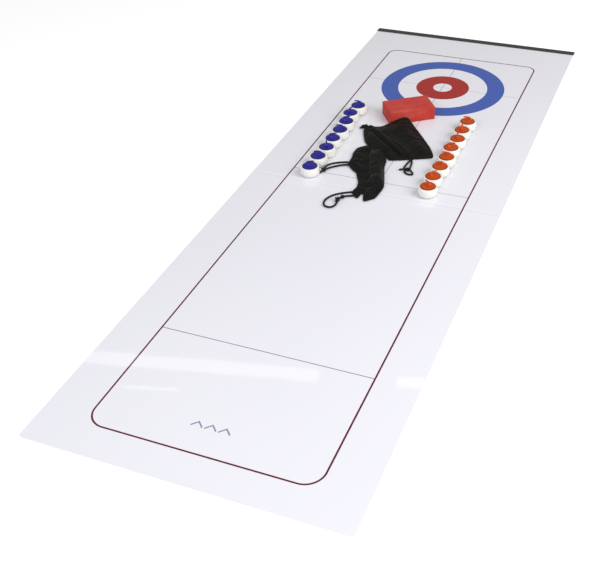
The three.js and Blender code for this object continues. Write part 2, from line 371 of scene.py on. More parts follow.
def cord_material():
    n = Nodes("black_cord")
    x, y, z = n.coords()
    braid = n.math("SINE", n.mul(n.add(n.add(x, y), z), 3.4))
    n.set(Base_Color=srgb(14, 14, 15), Roughness=0.6, Specular_IOR_Level=0.3)
    n.bump(n.add(braid, n.noise(400.0)), 0.35, 0.0006)
    return n.mat


def strip_material():
    n = Nodes("edge_strip")
    grain = n.noise(40.0, 4.0, 0.6, stretch=(1.0, 6.0, 6.0))
    shade = n.mix(n.ramp(grain, 0.3, 0.7), srgb(44, 40, 38), srgb(62, 56, 53))
    n.set(Base_Color=shade, Roughness=n.add(0.42, n.mul(grain, 0.2)))
    n.bump(n.noise(300.0, 3.0), 0.1, 0.0005)
    return n.mat


# ---------------------------------------------------------------- geometry helpers

def new_mesh(name, verts, faces, material, angle=38.0):
    """A smooth-shaded mesh; verts in millimetres, edges sharper than angle in degrees stay sharp."""
    mesh = bpy.data.meshes.new(name)
    mesh.from_pydata([tuple(c * MM for c in v) for v in verts], [], faces)
    mesh.validate()
    mesh.update()
    for m in material if isinstance(material, list) else [material]:
        mesh.materials.append(m)
    mesh.shade_smooth()
    mesh.set_sharp_from_angle(angle=math.radians(angle))
    return mesh


def new_object(name, mesh):
    obj = bpy.data.objects.new(name, mesh)
    scene.collection.objects.link(obj)
    return obj


def finish_piece(obj, body, slot, *nodes):
    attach(obj, body)
    if nodes:
        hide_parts(*nodes)
    return obj


def revolve(profile, segments):
    """Closed turned shape from (radius, height) points running from axis to axis."""
    verts, rings, faces = [], [], []
    for radius, height in profile:
        if radius < 1e-6:
            rings.append([len(verts)])
            verts.append((0.0, 0.0, height))
        else:
            start = len(verts)
            for i in range(segments):
                a = 2 * math.pi * i / segments
                verts.append((radius * math.cos(a), radius * math.sin(a), height))
            rings.append(list(range(start, start + segments)))
    for low, high in zip(rings, rings[1:]):
        for i in range(segments):
            j = (i + 1) % segments
            if len(low) == 1:
                faces.append((low[0], high[j], high[i]))
            elif len(high) == 1:
                faces.append((low[i], low[j], high[0]))
            else:
                faces.append((low[i], low[j], high[j], high[i]))
    return verts, faces


def fillet(points, radii, steps):
    """Rounds the inner corners of an open 2-D path."""
    out = [points[0]]
    for k in range(1, len(points) - 1):
        p, a, b = (np.array(points[i], float) for i in (k, k - 1, k + 1))
        r = radii.get(k, 0.0)
        if r <= 0:
            out.append(tuple(p))
            continue
        u, v = (a - p) / np.linalg.norm(a - p), (b - p) / np.linalg.norm(b - p)
        for s in range(steps + 1):
            t = s / steps
            q = p + u * r * (1 - t) ** 2 + v * r * t ** 2
            out.append(tuple(q))
    out.append(points[-1])
    return out


def spline(points, steps):
    """Points along a Catmull-Rom curve through the given ones."""
    pts = [np.array(p, float) for p in points]
    pts = [2 * pts[0] - pts[1]] + pts + [2 * pts[-1] - pts[-2]]
    out = []
    for k in range(1, len(pts) - 2):
        p0, p1, p2, p3 = pts[k - 1:k + 3]
        for s in range(steps):
            t = s / steps
            out.append(0.5 * (
                2 * p1 + (p2 - p0) * t + (2 * p0 - 5 * p1 + 4 * p2 - p3) * t * t
                + (3 * p1 - p0 - 3 * p2 + p3) * t ** 3))
    out.append(pts[-2])
    return out


def tube(path, radii, sides=12, flat=1.0):
    """Closed round bar along a path; radii holds one radius per path point."""
    verts, faces = [], []
    count = len(path)
    side = None
    for i, p in enumerate(path):
        ahead = path[min(i + 1, count - 1)] - path[max(i - 1, 0)]
        ahead = ahead / max(np.linalg.norm(ahead), 1e-9)
        if side is None:
            side = np.cross(ahead, (0.0, 0.0, 1.0))
            if np.linalg.norm(side) < 1e-3:
                side = np.array((0.0, 1.0, 0.0))
        side = side - ahead * np.dot(side, ahead)
        side = side / np.linalg.norm(side)
        up = np.cross(side, ahead)
        for s in range(sides):
            a = 2 * math.pi * s / sides
            verts.append(tuple(p + radii[i] * (side * math.cos(a) + up * flat * math.sin(a))))
    for i in range(count - 1):
        for s in range(sides):
            t = (s + 1) % sides
            faces.append((i * sides + s, i * sides + t, (i + 1) * sides + t, (i + 1) * sides + s))
    faces.append(tuple(range(sides))[::-1])
    last = (count - 1) * sides
    faces.append(tuple(last + s for s in range(sides)))
    return verts, faces


def merge(*parts):
    verts, faces = [], []
    for v, f in parts:
        start = len(verts)
        verts += v
        faces += [tuple(i + start for i in face) for face in f]
    return verts, faces


# ---------------------------------------------------------------- sheet

def sheet_height(x, y):
    """Gentle waves of a sheet that has been folded."""
    wave = 0.16 * np.sin(x / 97.0 + y / 260.0) * np.sin(y / 190.0 + 0.8)
    wave += 0.10 * np.sin(y / 61.0 + x / 300.0) * np.cos(x / 140.0)
    calm = np.clip((np.abs(y - 190.0) - 230.0) / 150.0, 0.15, 1.0)
    fold = 0.45 * np.exp(-(y / 2.2) ** 2) - 0.35 * np.exp(-(y / 26.0) ** 2)
    return SHEET_TOP + wave * calm - fold


def build_sheet_half(name, node, body, end_y, radius):
    """Half of the sheet, from the fold to end_y, with rows closer together near the fold; radius rounds
    its outer corners, and 0 leaves them square."""
    side = 1 if end_y > 0 else -1
    length = abs(end_y)
    straight = length - (radius or 1.0)
    rows = [0.15, 1.0, 2.0, 3.5, 6.0, 10.0, 16.0, 24.0, *np.linspace(34.0, straight, 88)]
    if radius:
        rows += [straight + radius * math.sin(a) for a in np.linspace(0.15, math.pi / 2, 7)]
    else:
        rows.append(length)
    columns = np.linspace(-1, 1, 61)
    verts, faces = [], []
    for level in (0, 1):
        for r in rows:
            inset = 0.0
            over = r - straight
            if radius and over > 0:
                inset = radius - math.sqrt(max(radius ** 2 - over ** 2, 0.0))
            for c in columns:
                x = c * (SHEET_HALF_WIDTH - inset)
                y = side * r
                z = float(sheet_height(x, y)) if level else 0.0
                verts.append((x, y, z))
    n, m = len(rows), len(columns)
    count = n * m

    def quad(a, b, c, d):
        faces.append((a, b, c, d) if side > 0 else (d, c, b, a))

    for i in range(n - 1):
        for j in range(m - 1):
            a = i * m + j
            quad(a, a + m, a + m + 1, a + 1)
            t = a + count
            quad(t, t + 1, t + m + 1, t + m)
        a, b = i * m, (i + 1) * m
        quad(a, a + count, b + count, b)
        a, b = i * m + m - 1, (i + 1) * m + m - 1
        quad(a, b, b + count, a + count)
    for j in range(m - 1):
        quad(j, j + 1, j + 1 + count, j + count)
        a = (n - 1) * m + j
        quad(a, a + count, a + 1 + count, a + 1)
    mesh = new_mesh(name, verts, faces, [MATS["sheet_edge"], MATS["sheet_print"]], angle=60)
    for poly in mesh.polygons:
        poly.material_index = 1 if poly.normal.z > 0.5 else 0
    return finish_piece(new_object(name, mesh), body, "sheet", node)


def build_strip():
    profile = [
        (STRIP_FRONT, SHEET_TOP + STRIP_GAP), (FAR_END + STRIP_GAP, SHEET_TOP + STRIP_GAP),
        (FAR_END + STRIP_GAP, 0.0),
        (STRIP_BACK, 0.0), (STRIP_BACK, STRIP_TOP), (STRIP_FRONT, STRIP_TOP),
    ]
    rounded = fillet(profile + [profile[0]], {3: 0.4, 4: 1.0, 5: 1.0}, 5)[:-1]
    columns = np.linspace(-STRIP_HALF_WIDTH, STRIP_HALF_WIDTH, 81)
    verts, faces = [], []
    count = len(rounded)
    for x in columns:
        for y, z in rounded:
            verts.append((x, y, z))
    for i in range(len(columns) - 1):
        for k in range(count):
            m = (k + 1) % count
            faces.append(((i + 1) * count + k, (i + 1) * count + m, i * count + m, i * count + k))
    faces.append(tuple(range(count))[::-1])
    faces.append(tuple((len(columns) - 1) * count + k for k in range(count)))
    mesh = new_mesh("edge_strip", verts, faces, MATS["strip"])
    finish_piece(new_object("edge_strip", mesh), "mat", "strip", "end_strip")


# ---------------------------------------------------------------- stones

def base_mesh():
    """Turned bowl: ball socket and a small groove below, a recess for the cap on top."""
    bottom, groove = BASE_BOTTOM, BASE_BOTTOM + 0.7
    mouth = math.sqrt(SOCKET_RADIUS ** 2 - (BALL_CENTRE - bottom) ** 2)
    start = math.pi / 2
    end = -math.asin((BALL_CENTRE - bottom) / SOCKET_RADIUS)
    socket = [(0.0, BALL_CENTRE + SOCKET_RADIUS)]
    for a in np.linspace(start, end, 15)[1:-1]:
        socket.append((SOCKET_RADIUS * math.cos(a), BALL_CENTRE + SOCKET_RADIUS * math.sin(a)))
    outer = fillet([
        (mouth, bottom), (mouth + 0.6, bottom), (15.2, bottom), (15.8, groove), (16.6, groove),
        (17.2, bottom), (18.6, bottom), (STONE_RADIUS, 6.8), (STONE_RADIUS, 20.0), (20.7, BASE_TOP),
        (RECESS_RADIUS, BASE_TOP), (RECESS_RADIUS, RECESS_FLOOR), (0.0, RECESS_FLOOR),
    ], {6: 1.6, 7: 2.6, 8: 3.2, 9: 1.2, 10: 0.35, 11: 0.2}, 6)
    verts, faces = revolve(socket + outer, 72)
    return new_mesh("stone_base", verts, faces, MATS["base"], angle=42)


# Curved handle: (x, height, radius) along its middle
HANDLE = [
    (-3.4, 24.4, 5.8), (-5.6, 27.0, 4.9), (-7.0, 29.8, 3.6), (-6.6, 32.4, 2.8), (-3.9, 34.4, 2.3),
    (0.0, 35.3, 2.05), (4.5, 35.6, 1.9), (8.6, 35.3, 1.75),
]


def cap_mesh(name, material):
    disc = revolve(fillet([
        (0.0, CAP_BOTTOM), (CAP_RADIUS, CAP_BOTTOM), (CAP_RADIUS, 24.9),
        (14.8, 26.1), (8.0, 26.75), (0.0, CAP_TOP),
    ], {1: 0.3, 2: 1.1, 3: 2.0}, 5), 72)
    path = spline([(x, 0.0, z) for x, z, _ in HANDLE], 5)
    radii = [v[0] for v in spline([(r, 0.0, 0.0) for _, _, r in HANDLE], 5)]
    tip = path[-1] - path[-2]
    tip = tip / np.linalg.norm(tip)
    end = path[-1]
    last = radii[-1]
    for s in (0.35, 0.65, 0.88, 0.98):
        path.append(end + tip * last * s)
        radii.append(last * math.sqrt(1 - s * s))
    bar = tube(path, radii, 16, flat=0.9)
    verts, faces = merge(disc, bar)
    return new_mesh(name, verts, faces, material, angle=50)


def ball_mesh():
    rows = 20
    turns = [math.pi * i / rows for i in range(1, rows)]
    profile = [(BALL_RADIUS * math.sin(a), BALL_CENTRE - BALL_RADIUS * math.cos(a)) for a in turns]
    bottom, top = (0.0, BALL_CENTRE - BALL_RADIUS), (0.0, BALL_CENTRE + BALL_RADIUS)
    verts, faces = revolve([bottom, *profile, top], 32)
    return new_mesh("steel_ball", verts, faces, MATS["steel"])


def build_stones():
    base, ball = base_mesh(), ball_mesh()
    for prefix, stones in (("blue", BLUE_STONES), ("orange", ORANGE_STONES)):
        cap = cap_mesh(f"{prefix}_cap", MATS[prefix])
        for i, (x, y, yaw) in enumerate(stones, 1):
            turn = Matrix.Rotation(math.radians(yaw), 4, "Z")
            place = Matrix.Translation(Vector((x, y, SHEET_TOP)) * MM) @ turn
            for kind, mesh, slot, body in (
                ("base", base, "stone_base", "stone"),
                ("cap", cap, f"{prefix}_cap", "stone"),
                ("ball", ball, "ball", "roller"),
            ):
                obj = new_object(f"{prefix}_stone_{i}_{kind}", mesh)
                obj.matrix_world = place
                finish_piece(obj, f"{prefix}_{i}_{body}", slot, f"{prefix}_{i}_{kind}")


# ---------------------------------------------------------------- foam block

def build_foam():
    """A block with soft edges, slightly hollow long sides and a faint waviness."""
    half = [v / 2 for v in FOAM_SIZE]
    cells = [48, 28, 14]
    radius, hollow_depth, waviness = 1.8, 0.7, 0.0021
    verts, index, faces = [], {}, []

    def point(i, j, k):
        key = (i, j, k)
        if key not in index:
            p = np.array([(2 * t / n - 1) * h for t, n, h in zip(key, cells, half)])
            inner = np.clip(p, [-h + radius for h in half], [h - radius for h in half])
            off = p - inner
            dist = np.linalg.norm(off)
            q = inner + off / dist * radius if dist > 1e-9 else p
            hollow = hollow_depth * (1 - (p[0] / half[0]) ** 2) * (1 - (p[2] / half[2]) ** 2)
            if abs(abs(p[1]) - half[1]) < 1e-6:
                q[1] -= math.copysign(hollow, p[1])
            wave = math.sin(p[0] / 11.0 + p[1] / 17.0) * math.sin(p[2] / 9.0 + p[1] / 21.0)
            q = q * (1 - waviness * wave)
            index[key] = len(verts)
            verts.append(tuple(q))
        return index[key]

    for axis in range(3):
        u, v = [a for a in range(3) if a != axis]
        for end in (0, cells[axis]):
            for i in range(cells[u]):
                for j in range(cells[v]):
                    corner = []
                    for a, b in ((0, 0), (1, 0), (1, 1), (0, 1)):
                        key = [0, 0, 0]
                        key[axis], key[u], key[v] = end, i + a, j + b
                        corner.append(point(*key))
                    flip = (end == 0) != (axis == 1)
                    faces.append(tuple(corner[::-1] if flip else corner))
    yaw = math.radians(FOAM_YAW)
    c, s = math.cos(yaw), math.sin(yaw)
    placed = [
        (FOAM_CENTRE[0] + c * x - s * y, FOAM_CENTRE[1] + s * x + c * y, FOAM_BOTTOM + half[2] + z)
        for x, y, z in verts
    ]
    mesh = new_mesh("foam", placed, faces, MATS["foam"], angle=80)
    finish_piece(new_object("foam", mesh), "foam", "foam", "foam_block")


# ---------------------------------------------------------------- bags

GRID = 3.0
REST = 0.25
CLOTH_CAP, CLOTH_PRESSURE, CLOTH_STRETCH, CLOTH_FRAMES = 2.0, 2.0, 0.008, 16
STITCH_SPACING, STITCH_LENGTH = 4.2, 2.5


def smooth_outline(outline, step):
    """Even points along a closed curve through (x, y, edge height) points."""
    pts = np.array(outline, float)
    count = len(pts)
    dense = []
    for k in range(count):
        p0, p1, p2, p3 = (pts[(k + i) % count] for i in (-1, 0, 1, 2))
        for s in range(12):
            t = s / 12
            curve = 0.5 * (
                2 * p1 + (p2 - p0) * t + (2 * p0 - 5 * p1 + 4 * p2 - p3) * t * t
                + (3 * p1 - p0 - 3 * p2 + p3) * t ** 3)
            dense.append(0.55 * curve + 0.45 * (p1 + (p2 - p1) * t))
    dense = np.array(dense + [dense[0]])
    run = np.concatenate([[0], np.cumsum(np.linalg.norm(np.diff(dense[:, :2], axis=0), axis=1))])
    places = np.linspace(0, run[-1], int(run[-1] / step) + 1)[:-1]
    return np.stack([np.interp(places, run, dense[:, i]) for i in range(3)], axis=1)


def path_distance(points, path, closed=False):
    """For each point: how far it is from a polyline, how far along the line its nearest place lies, and
    which side it is on (above 0 on the left); then the line's length."""
    path = np.array(path, float)[:, :2]
    ends = np.roll(path, -1, axis=0) if closed else path[1:]
    starts = path if closed else path[:-1]
    run = 0.0
    best = np.full(len(points), 1e9)
    along, side = np.zeros(len(points)), np.zeros(len(points))
    for a, b in zip(starts, ends):
        ab = b - a
        size = np.linalg.norm(ab)
        t = np.clip(((points - a) @ ab) / max(size ** 2, 1e-9), 0, 1)
        gap = points - (a + t[:, None] * ab)
        d = np.linalg.norm(gap, axis=1)
        near = d < best
        best[near] = d[near]
        along[near] = run + t[near] * size
        side[near] = (gap[:, 1] * ab[0] - gap[:, 0] * ab[1])[near]
        run += size
    return best, along, side, run


def inside_polygon(points, polygon):
    x, y = points[:, 0], points[:, 1]
    hit = np.zeros(len(points), bool)
    for a, b in zip(polygon, np.roll(polygon, -1, axis=0)):
        crosses = (a[1] > y) != (b[1] > y)
        slope = (b[0] - a[0]) / (b[1] - a[1] if b[1] != a[1] else 1e-9)
        hit ^= crosses & (x < slope * (y - a[1]) + a[0])
    return hit


def bell(distance, width):
    return np.exp(-(distance / width) ** 2)


def fade(distance, start, end):
    t = np.clip((distance - start) / (end - start), 0, 1)
    return t * t * (3 - 2 * t)


def crumple(points, seed, scale):
    """Soft ridged noise, one value per point, about -0.5 to 0.5."""
    out = np.zeros(len(points))
    for i, (x, y) in enumerate(points):
        p = Vector((x / scale, y / scale, seed))
        out[i] = 0.5 - abs(noise.noise(p)) * 1.6 + 0.35 * noise.noise(p * 2.3)
    return out


class Bag:
    """A closed two-layer bag over an outline; heights are above the sheet."""

    def __init__(self, name, outline, crown, body, node):
        self.name, self.body, self.node = name, body, node
        self.rim = smooth_outline(outline, GRID)
        low, high = self.rim[:, :2].min(0), self.rim[:, :2].max(0)
        rows = np.arange(low[1], high[1], GRID * 0.866)
        grid = [
            (x + (GRID / 2 if r % 2 else 0), y)
            for r, y in enumerate(rows) for x in np.arange(low[0], high[0], GRID)
        ]
        grid = np.array(grid)
        grid = grid[inside_polygon(grid, self.rim[:, :2])]
        distance = path_distance(grid, self.rim, closed=True)[0]
        grid = grid[distance > GRID * 0.6]
        points = [Vector(p) for p in np.vstack([self.rim[:, :2], grid])]
        count = len(self.rim)
        edges = [(i, (i + 1) % count) for i in range(count)]
        verts, _, faces, _, _, _ = delaunay_2d_cdt(points, edges, [], 1, 1e-5)
        self.plan = np.array([tuple(v) for v in verts])
        self.faces = [tuple(f) for f in faces]
        self.edge = path_distance(self.plan, self.rim, closed=True)[0]
        gaps = self.plan[:, None, :] - self.rim[None, :, :2]
        weight = 1.0 / (np.sum(gaps ** 2, axis=2) + 4.0) ** 1.2
        self.seam = (weight * self.rim[:, 2]).sum(1) / weight.sum(1)
        self.on_rim = self.edge < 1e-3
        turn = np.sqrt(1 - (1 - np.clip(self.edge / 7.0, 0, 1)) ** 2)
        middle = 0.45 * self.seam + 0.3
        self.top = middle + turn * 0.5 * self.seam + crown * fade(self.edge, 0, 46)
        reach = 6.0 + 2.2 * np.clip(self.seam - 6, 0, 20)
        under = np.sqrt(1 - (1 - np.clip(self.edge / reach, 0, 1)) ** 2)
        self.bottom = middle - under * (middle - REST)

    def shape(self, path, width, height, ends=18.0):
        """A ridge, or a valley where height is negative, along a path."""
        distance, along, _, total = path_distance(self.plan, path)
        taper = fade(along, -1, ends) * fade(total - along, -1, ends)
        taper = np.maximum(taper, 0.25)
        self.top += height * bell(distance, width) * taper * fade(self.edge, 0, 12)

    def step(self, path, height, width, reach, ends=14.0):
        """Cloth right of the path stands higher by height; the step dies out over reach on both sides."""
        distance, along, side, total = path_distance(self.plan, path)
        signed = np.where(side < 0, distance, -distance)
        taper = fade(along, -1, ends) * fade(total - along, -1, ends)
        shape = (fade(signed, -width, width) - 0.5) * np.exp(-(signed / reach) ** 2)
        self.top += height * shape * taper * fade(self.edge, 0, 8)

    def gather(self, x, y, folds, height, reach, turn=0.0):
        """Pleats that run into a drawn-up corner."""
        dx, dy = self.plan[:, 0] - x, self.plan[:, 1] - y
        distance = np.hypot(dx, dy)
        angle = np.arctan2(dy, dx) + turn
        ring = np.exp(-((distance - 6) / reach) ** 2) * fade(distance, 1, 7)
        self.top += height * np.sin(folds * angle) * ring

    def ripple(self, path, wave, height, reach):
        """Small puckers square to an edge."""
        distance, along = path_distance(self.plan, path)[:2]
        wobble = along + 3.0 * np.sin(along / 17.0)
        wave_height = np.sin(2 * math.pi * wobble / wave) * np.exp(-distance / reach)
        self.top += height * wave_height * fade(self.edge, 0, 3)

    def hem(self, path, depth=11.0):
        """The sewn channel that the cord runs in."""
        distance = path_distance(self.plan, path)[0]
        self.top += 1.1 * bell(distance - depth * 0.45, depth * 0.35) - 1.0 * bell(distance - depth, 1.7)

    def build(self, seed):
        self.top += crumple(self.plan, seed, 31.0) * fade(self.edge, 0, 16) * 2.0
        self.top += crumple(self.plan, seed + 9, 13.0) * fade(self.edge, 0, 9) * 0.7
        self.top = np.maximum(self.top, self.bottom + 0.8)
        count = len(self.plan)
        verts = [(x, y, SHEET_TOP + z) for (x, y), z in zip(self.plan, self.top)]
        below = {}
        for i in range(count):
            if self.on_rim[i]:
                below[i] = i
            else:
                below[i] = len(verts)
                verts.append((self.plan[i][0], self.plan[i][1], SHEET_TOP + self.bottom[i]))
        faces = []
        for f in self.faces:
            a, b, c = (self.plan[i] for i in f)
            up = (b[0] - a[0]) * (c[1] - a[1]) - (b[1] - a[1]) * (c[0] - a[0]) > 0
            f = f if up else f[::-1]
            faces.append(f)
            faces.append(tuple(below[i] for i in f)[::-1])
        mesh = new_mesh(self.name, verts, faces, MATS["cloth"], angle=180)
        obj = new_object(self.name, mesh)
        pins = obj.vertex_groups.new(name="rim")
        pins.add([i for i in range(count) if self.on_rim[i]], 1.0, "REPLACE")
        settle(obj)
        sub = obj.modifiers.new("round", "SUBSURF")
        sub.levels = sub.render_levels = 1
        bake(obj)
        obj.data.shade_smooth()
        return finish_piece(obj, self.body, "bag_cloth", self.node)


def bake(obj):
    """Replaces the mesh by what its modifiers make of it."""
    graph = bpy.context.evaluated_depsgraph_get()
    mesh = bpy.data.meshes.new_from_object(obj.evaluated_get(graph))
    mesh.name = obj.name
    obj.modifiers.clear()
    obj.data = mesh


def settle(obj):
    """Lets the cloth puff and wrinkle; no point moves further than CLOTH_CAP from where it was laid."""
    start = np.empty(len(obj.data.vertices) * 3)
    obj.data.vertices.foreach_get("co", start)
    start = start.reshape(-1, 3)
    cloth = obj.modifiers.new("cloth", "CLOTH")
    s = cloth.settings
    s.quality = 6
    s.mass = 0.15
    s.tension_stiffness = s.compression_stiffness = 12
    s.shear_stiffness = 4
    s.bending_stiffness = 1.5
    s.use_pressure = True
    s.uniform_pressure_force = CLOTH_PRESSURE
    s.shrink_min = -CLOTH_STRETCH
    s.vertex_group_mass = "rim"
    s.effector_weights.gravity = 0.0
    s.air_damping = 3.0
    cloth.collision_settings.use_collision = False
    cloth.point_cache.frame_start, cloth.point_cache.frame_end = 1, CLOTH_FRAMES
    for f in range(1, CLOTH_FRAMES + 1):
        scene.frame_set(f)
    graph = bpy.context.evaluated_depsgraph_get()
    moved = obj.evaluated_get(graph).data
    end = np.empty(len(moved.vertices) * 3)
    moved.vertices.foreach_get("co", end)
    end = end.reshape(-1, 3)
    scene.frame_set(1)
    obj.modifiers.remove(cloth)
    step = end - start
    size = np.linalg.norm(step, axis=1)
    limit = CLOTH_CAP * MM
    step *= (limit * np.tanh(size / limit) / np.maximum(size, 1e-12))[:, None]
    place = start + step
    place[:, 2] = np.maximum(place[:, 2], (SHEET_TOP + REST * 0.6) * MM)
    obj.data.vertices.foreach_set("co", place.ravel())
    obj.data.update()


def stitches(name, bag, path, body):
    """A row of thread stitches lying on a bag along a path."""
    tree = BVHTree.FromObject(bag, bpy.context.evaluated_depsgraph_get())
    path = [np.array(p, float) for p in path]
    parts = []
    run = STITCH_SPACING / 2
    for a, b in zip(path, path[1:]):
        size = np.linalg.norm(b - a)
        while run < size:
            here = a + (b - a) * run / size
            ahead = a + (b - a) * min(1.0, (run + STITCH_LENGTH) / size)
            line = []
            for p in (here, (here + ahead) / 2, ahead):
                hit = tree.ray_cast(Vector((p[0], p[1], 80.0)) * MM, Vector((0, 0, -1)))[0]
                if hit is None:
                    break
                line.append(np.array(hit) / MM)
            if len(line) == 3:
                line[1] = line[1] + np.array((0, 0, 0.22))
                parts.append(tube(line, [0.12, 0.24, 0.12], 6))
            run += STITCH_SPACING
        run -= size
    verts, faces = merge(*parts)
    finish_piece(new_object(name, new_mesh(name, verts, faces, MATS["thread"])), body, "bag_cloth")


def inset(path, amount):
    """An open path moved sideways to its left."""
    path = np.array(path, float)
    out = []
    for i in range(len(path)):
        ahead = path[min(i + 1, len(path) - 1)] - path[max(i - 1, 0)]
        ahead = ahead / np.linalg.norm(ahead)
        out.append(path[i] + amount * np.array((-ahead[1], ahead[0])))
    return out


# Outlines seen from above: (x, y, height of the edge)
REAR_OUTLINE = [
    (-116, 261, 5), (-119.5, 272, 6), (-116, 288, 7), (-110, 297, 7), (-97, 297, 6), (-84, 299, 7),
    (-74, 308, 9), (-66, 316, 12), (-52, 327, 18), (-35, 338, 25), (-22, 344, 22), (-6, 332, 11),
    (30, 289.5, 5), (66, 241, 4), (86, 205, 4), (87, 190, 3), (47, 170, 3), (17, 155.5, 3),
    (-8, 146.5, 3), (-18, 155.5, 4), (-29, 165, 5), (-46, 171.7, 5), (-62, 177, 5), (-81, 197, 5),
    (-95.3, 214.2, 5), (-108.5, 241, 5),
]
FRONT_OUTLINE = [
    (-62.2, 177, 9), (-46, 172, 11), (-30, 163.5, 12), (-18, 151.5, 11), (-10.5, 138, 8), (-5.5, 109, 8),
    (12.3, 57, 8), (21.5, 26, 6), (21, 2, 5), (17.6, -26, 5), (-3.5, -46, 4), (-16, -16, 6),
    (-21, -40, 5), (-41, -22, 5), (-42, -10, 5), (-39.5, 3.5, 5), (-43.5, 26, 5), (-53, 45.5, 5),
    (-63, 65, 5), (-77, 76, 5), (-97, 99, 5), (-98, 127, 6), (-102, 149.5, 8), (-101.5, 172, 8),
    (-92, 187.5, 7), (-80, 197.6, 6),
]


def build_bags():
    rear = Bag("rear_bag_cloth", REAR_OUTLINE, 5.0, "rear_bag", "bag_rear")
    rear.shape([(-100, 276), (-81, 251), (-56, 226), (-32, 207), (0, 181), (22, 160)], 4.5, -5.5)
    rear.shape([(-88, 272), (-70, 250), (-45, 227), (-20, 208), (10, 184), (32, 166)], 5.5, 4.2)
    rear.shape([(-30, 222), (-8, 203), (18, 182), (38, 164)], 3.0, -3.0, ends=10)
    rear.shape([(-22, 226), (0, 208), (26, 187), (46, 170)], 4.5, 3.0, ends=10)
    rear.shape([(-98, 250), (-72, 226), (-46, 202), (-20, 178), (2, 160)], 9.0, 2.6)
    rear.shape([(-35, 330), (-16, 302), (6, 268), (26, 240)], 13.0, 2.6)
    rear.shape([(-68, 300), (-46, 274), (-18, 246), (18, 220), (52, 198)], 9.0, -1.8)
    rear.shape([(22, 254), (46, 228), (72, 208)], 8.0, 1.5)
    hem = [(-116, 261), (-108.5, 241), (-94.5, 215), (-80, 198)]
    foot = [(-8, 146.5), (17, 155.5), (47, 170), (87, 190)]
    rear.hem(hem)
    rear.hem(foot, 9.0)
    rear.gather(-119, 279, 9, 2.2, 18)
    rear.gather(40, 164, 7, 1.0, 12)
    rear.ripple(hem, 9.0, 0.8, 12)
    rear.ripple(foot, 12.0, 0.4, 9)
    cloth = rear.build(seed=3.0)
    stitches("rear_bag_foot_stitches", cloth, inset(foot, 9.0), "rear_bag")
    stitches("rear_bag_hem_stitches", cloth, inset(hem, 11.0), "rear_bag")

    front = Bag("front_bag_cloth", FRONT_OUTLINE, 3.5, "front_bag", "bag_front")
    front.shape([(-36, 160), (-24, 112), (-6, 68), (8, 34)], 13.0, 10.0, ends=3)
    front.step([(-62, 176), (-57, 148), (-46, 116), (-31, 74), (-17, 36), (-12, 8)], -11.0, 3.6, 26.0, ends=8)
    front.step([(-22, 6), (-15, 22), (-4, 32), (8, 32), (22, 20)], -9.0, 3.0, 16.0, ends=5)
    front.shape([(2, 22), (-2, 0), (-6, -20), (-4, -38)], 5.0, 3.4, ends=6)
    front.shape([(14, 12), (10, -8), (6, -26)], 4.0, -2.4, ends=6)
    front.shape([(-84, 178), (-82, 148), (-76, 120)], 9.0, 2.4)
    front.shape([(-94, 112), (-74, 110), (-54, 100)], 4.5, -3.0, ends=10)
    front.shape([(-86, 98), (-66, 92), (-48, 78)], 5.0, 1.8, ends=10)
    front.shape([(-34, 44), (-31, 14), (-34, -12)], 4.0, 2.6, ends=8)
    front.shape([(-24, 20), (-24, -2), (-20, -14)], 3.0, -2.4, ends=6)
    hem = [(-97, 99), (-77, 76), (-63, 65), (-53, 45.5), (-43.5, 26), (-39.5, 3.5), (-42, -10)]
    front.hem(hem, 10.0)
    front.gather(-99, 98, 9, 2.2, 18)
    front.gather(-38, -26, 7, 1.8, 16, 0.5)
    front.ripple(hem, 9.0, 0.9, 11)
    front.build(seed=7.0)
